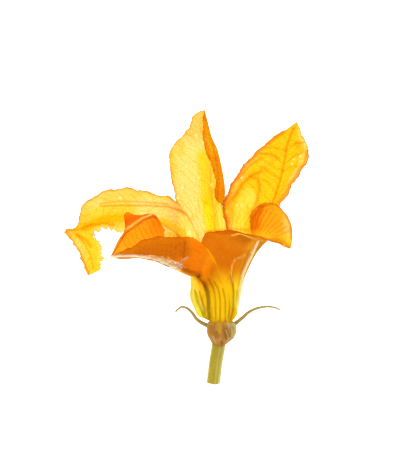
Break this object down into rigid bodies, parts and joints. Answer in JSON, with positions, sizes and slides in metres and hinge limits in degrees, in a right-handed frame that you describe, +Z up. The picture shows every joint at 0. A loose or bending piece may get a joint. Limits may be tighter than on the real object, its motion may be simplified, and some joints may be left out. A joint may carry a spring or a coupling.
{
  "type": "zucchini flower",
  "caption": "Open male squash blossom with pointed ruffled petal lobes, a ribbed tube, narrow sepals and a short cut stem, lying on its back.",
  "frame": {"origin": "on the table, under the middle of the flower's bounding box", "axes": "+Y from the cut stem to the tips of the petals, +Z up from the table, +X to the right in the picture's view"},
  "size_m": [0.1305, 0.1467, 0.0596],
  "materials": {
    "stem": "fresh green stalk, finely hairy",
    "calyx": "olive to brown, ribbed, finely hairy",
    "petal": "thin translucent yellow-orange petal with darker veins",
    "stamen": "matte, dusted with pollen"
  },
  "bodies": {
    "root": {"stem": "stem", "calyx": "calyx", "corolla": "petal", "stamens": "stamen"}
  },
  "joints": []
}
